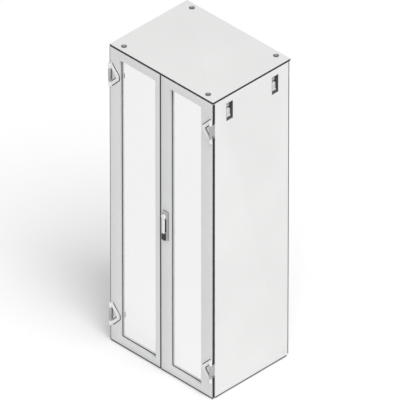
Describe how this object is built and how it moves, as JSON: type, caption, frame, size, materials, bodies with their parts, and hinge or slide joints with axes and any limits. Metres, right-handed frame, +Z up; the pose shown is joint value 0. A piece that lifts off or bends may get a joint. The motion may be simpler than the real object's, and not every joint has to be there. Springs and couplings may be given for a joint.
{
  "type": "industrial switchboard cabinet",
  "caption": "Floor-standing switchgear enclosure with a framed carcass, glazed swing doors on bow hinges, rod-lock swing handle and latched side panels.",
  "frame": {"origin": "centre of the floor anchor pattern, on the floor", "axes": "+X to the right seen from the front, +Y to the rear, +Z up"},
  "size_m": [0.804, 0.6245, 2.005],
  "materials": {
    "enclosure_paint": "fine textured powder coat",
    "door_paint": "fine textured powder coat",
    "galvanised": "galvanised, satin",
    "screw_steel": "bright zinc plated",
    "hinge_metal": "smooth satin die casting",
    "handle_grey": "fine grained",
    "lever_metal": "satin",
    "black_plastic": "fine grained",
    "latch_plastic": "fine grained",
    "glass": "polished float glass",
    "rubber": "matte",
    "foam": "cellular, matte",
    "copper": "bare, satin",
    "insulator": "moulded",
    "plinth_paint": "fine textured powder coat",
    "steel_plain": "turned, satin"
  },
  "bodies": {
    "carcass": {"base_frame": "plinth_paint", "roof_frame": "galvanised", "front_posts": "galvanised", "rear_posts": "galvanised", "frame_struts": "galvanised", "roof_panel": "enclosure_paint", "roof_screws": "screw_steel", "rear_panel": "enclosure_paint", "rear_lower_cover": "enclosure_paint", "rear_screws": "screw_steel", "frame_gaskets": "foam", "mounting_rails": "galvanised", "mounting_plate": "galvanised", "mounting_bolts": "screw_steel", "earth_bar": "copper", "earth_bar_supports": "insulator", "gland_plates": "galvanised", "hinge_brackets": "hinge_metal", "hinge_pins": "steel_plain", "frame_screws": "screw_steel", "rod_keepers": "galvanised"},
    "left_door": {"door_left_skin": "door_paint", "door_left_tube_frame": "galvanised", "door_left_glass": "glass", "door_left_glazing_seal": "rubber", "door_left_glass_retainers": "galvanised", "door_left_gasket": "foam", "door_left_hinge_arms": "hinge_metal", "door_left_screws": "screw_steel", "shoot_bolt_guides": "galvanised"},
    "right_door": {"door_right_skin": "door_paint", "door_right_tube_frame": "galvanised", "door_right_glass": "glass", "door_right_glazing_seal": "rubber", "door_right_glass_retainers": "galvanised", "door_right_gasket": "foam", "door_right_hinge_arms": "hinge_metal", "door_right_screws": "screw_steel", "lock_case": "galvanised", "rod_guides": "galvanised", "handle_escutcheon": "handle_grey", "handle_lock_block": "black_plastic"},
    "handle_hub": {"handle_spindle": "lever_metal", "lever_pivot_pin": "steel_plain"},
    "lever": {"handle_lever": "lever_metal"},
    "key_cylinder": {"lock_cylinder": "screw_steel"},
    "upper_rod": {"lock_rod_upper": "steel_plain"},
    "lower_rod": {"lock_rod_lower": "steel_plain"},
    "upper_bolt": {"shoot_bolt_upper": "steel_plain"},
    "lower_bolt": {"shoot_bolt_lower": "steel_plain"},
    "left_side": {"side_panel_left": "enclosure_paint", "side_panel_left_stud": "screw_steel", "latch_housings_left": "latch_plastic"},
    "left_front_latch": {"latch_slider_left_front": "latch_plastic"},
    "left_rear_latch": {"latch_slider_left_rear": "latch_plastic"},
    "right_side": {"side_panel_right": "enclosure_paint", "side_panel_right_stud": "screw_steel", "latch_housings_right": "latch_plastic"},
    "right_front_latch": {"latch_slider_right_front": "latch_plastic"},
    "right_rear_latch": {"latch_slider_right_rear": "latch_plastic"}
  },
  "joints": [
    {"name": "left_door_hinge", "type": "hinge", "parent": "carcass", "child": "left_door", "pos_m": [-0.392, -0.31, 1], "axis": [0, 0, -1], "range_deg": [0, 180]},
    {"name": "right_door_hinge", "type": "hinge", "parent": "carcass", "child": "right_door", "pos_m": [0.392, -0.31, 1], "axis": [0, 0, 1], "range_deg": [0, 180]},
    {"name": "handle_turn", "type": "hinge", "parent": "right_door", "child": "handle_hub", "pos_m": [0.034, -0.3, 1.063], "axis": [0, -1, 0], "range_deg": [0, 90]},
    {"name": "lever_swing", "type": "hinge", "parent": "handle_hub", "child": "lever", "pos_m": [0.034, -0.318, 1.056], "axis": [-1, 0, 0], "range_deg": [0, 35]},
    {"name": "key_turn", "type": "hinge", "parent": "right_door", "child": "key_cylinder", "pos_m": [0.034, -0.3, 0.9295], "axis": [0, 1, 0], "range_deg": [0, 90]},
    {"name": "upper_rod_slide", "type": "slide", "parent": "right_door", "child": "upper_rod", "axis": [0, 0, -1], "range_m": [0, 0.0138]},
    {"name": "lower_rod_slide", "type": "slide", "parent": "right_door", "child": "lower_rod", "axis": [0, 0, 1], "range_m": [0, 0.0138]},
    {"name": "upper_bolt_slide", "type": "slide", "parent": "left_door", "child": "upper_bolt", "axis": [0, 0, -1], "range_m": [0, 0.025]},
    {"name": "lower_bolt_slide", "type": "slide", "parent": "left_door", "child": "lower_bolt", "axis": [0, 0, 1], "range_m": [0, 0.025]},
    {"name": "left_side_pull", "type": "slide", "parent": "carcass", "child": "left_side", "axis": [-1, 0, 0], "range_m": [0, 0.08]},
    {"name": "left_front_latch_slide", "type": "slide", "parent": "left_side", "child": "left_front_latch", "axis": [0, 0, 1], "range_m": [0, 0.02]},
    {"name": "left_rear_latch_slide", "type": "slide", "parent": "left_side", "child": "left_rear_latch", "axis": [0, 0, 1], "range_m": [0, 0.02]},
    {"name": "right_side_pull", "type": "slide", "parent": "carcass", "child": "right_side", "axis": [1, 0, 0], "range_m": [0, 0.08]},
    {"name": "right_front_latch_slide", "type": "slide", "parent": "right_side", "child": "right_front_latch", "axis": [0, 0, 1], "range_m": [0, 0.02]},
    {"name": "right_rear_latch_slide", "type": "slide", "parent": "right_side", "child": "right_rear_latch", "axis": [0, 0, 1], "range_m": [0, 0.02]}
  ],
  "couplings": [
    {"joint": "upper_rod_slide", "follows": "handle_turn", "m_per_rad": 0.00875},
    {"joint": "lower_rod_slide", "follows": "handle_turn", "m_per_rad": 0.00875}
  ]
}
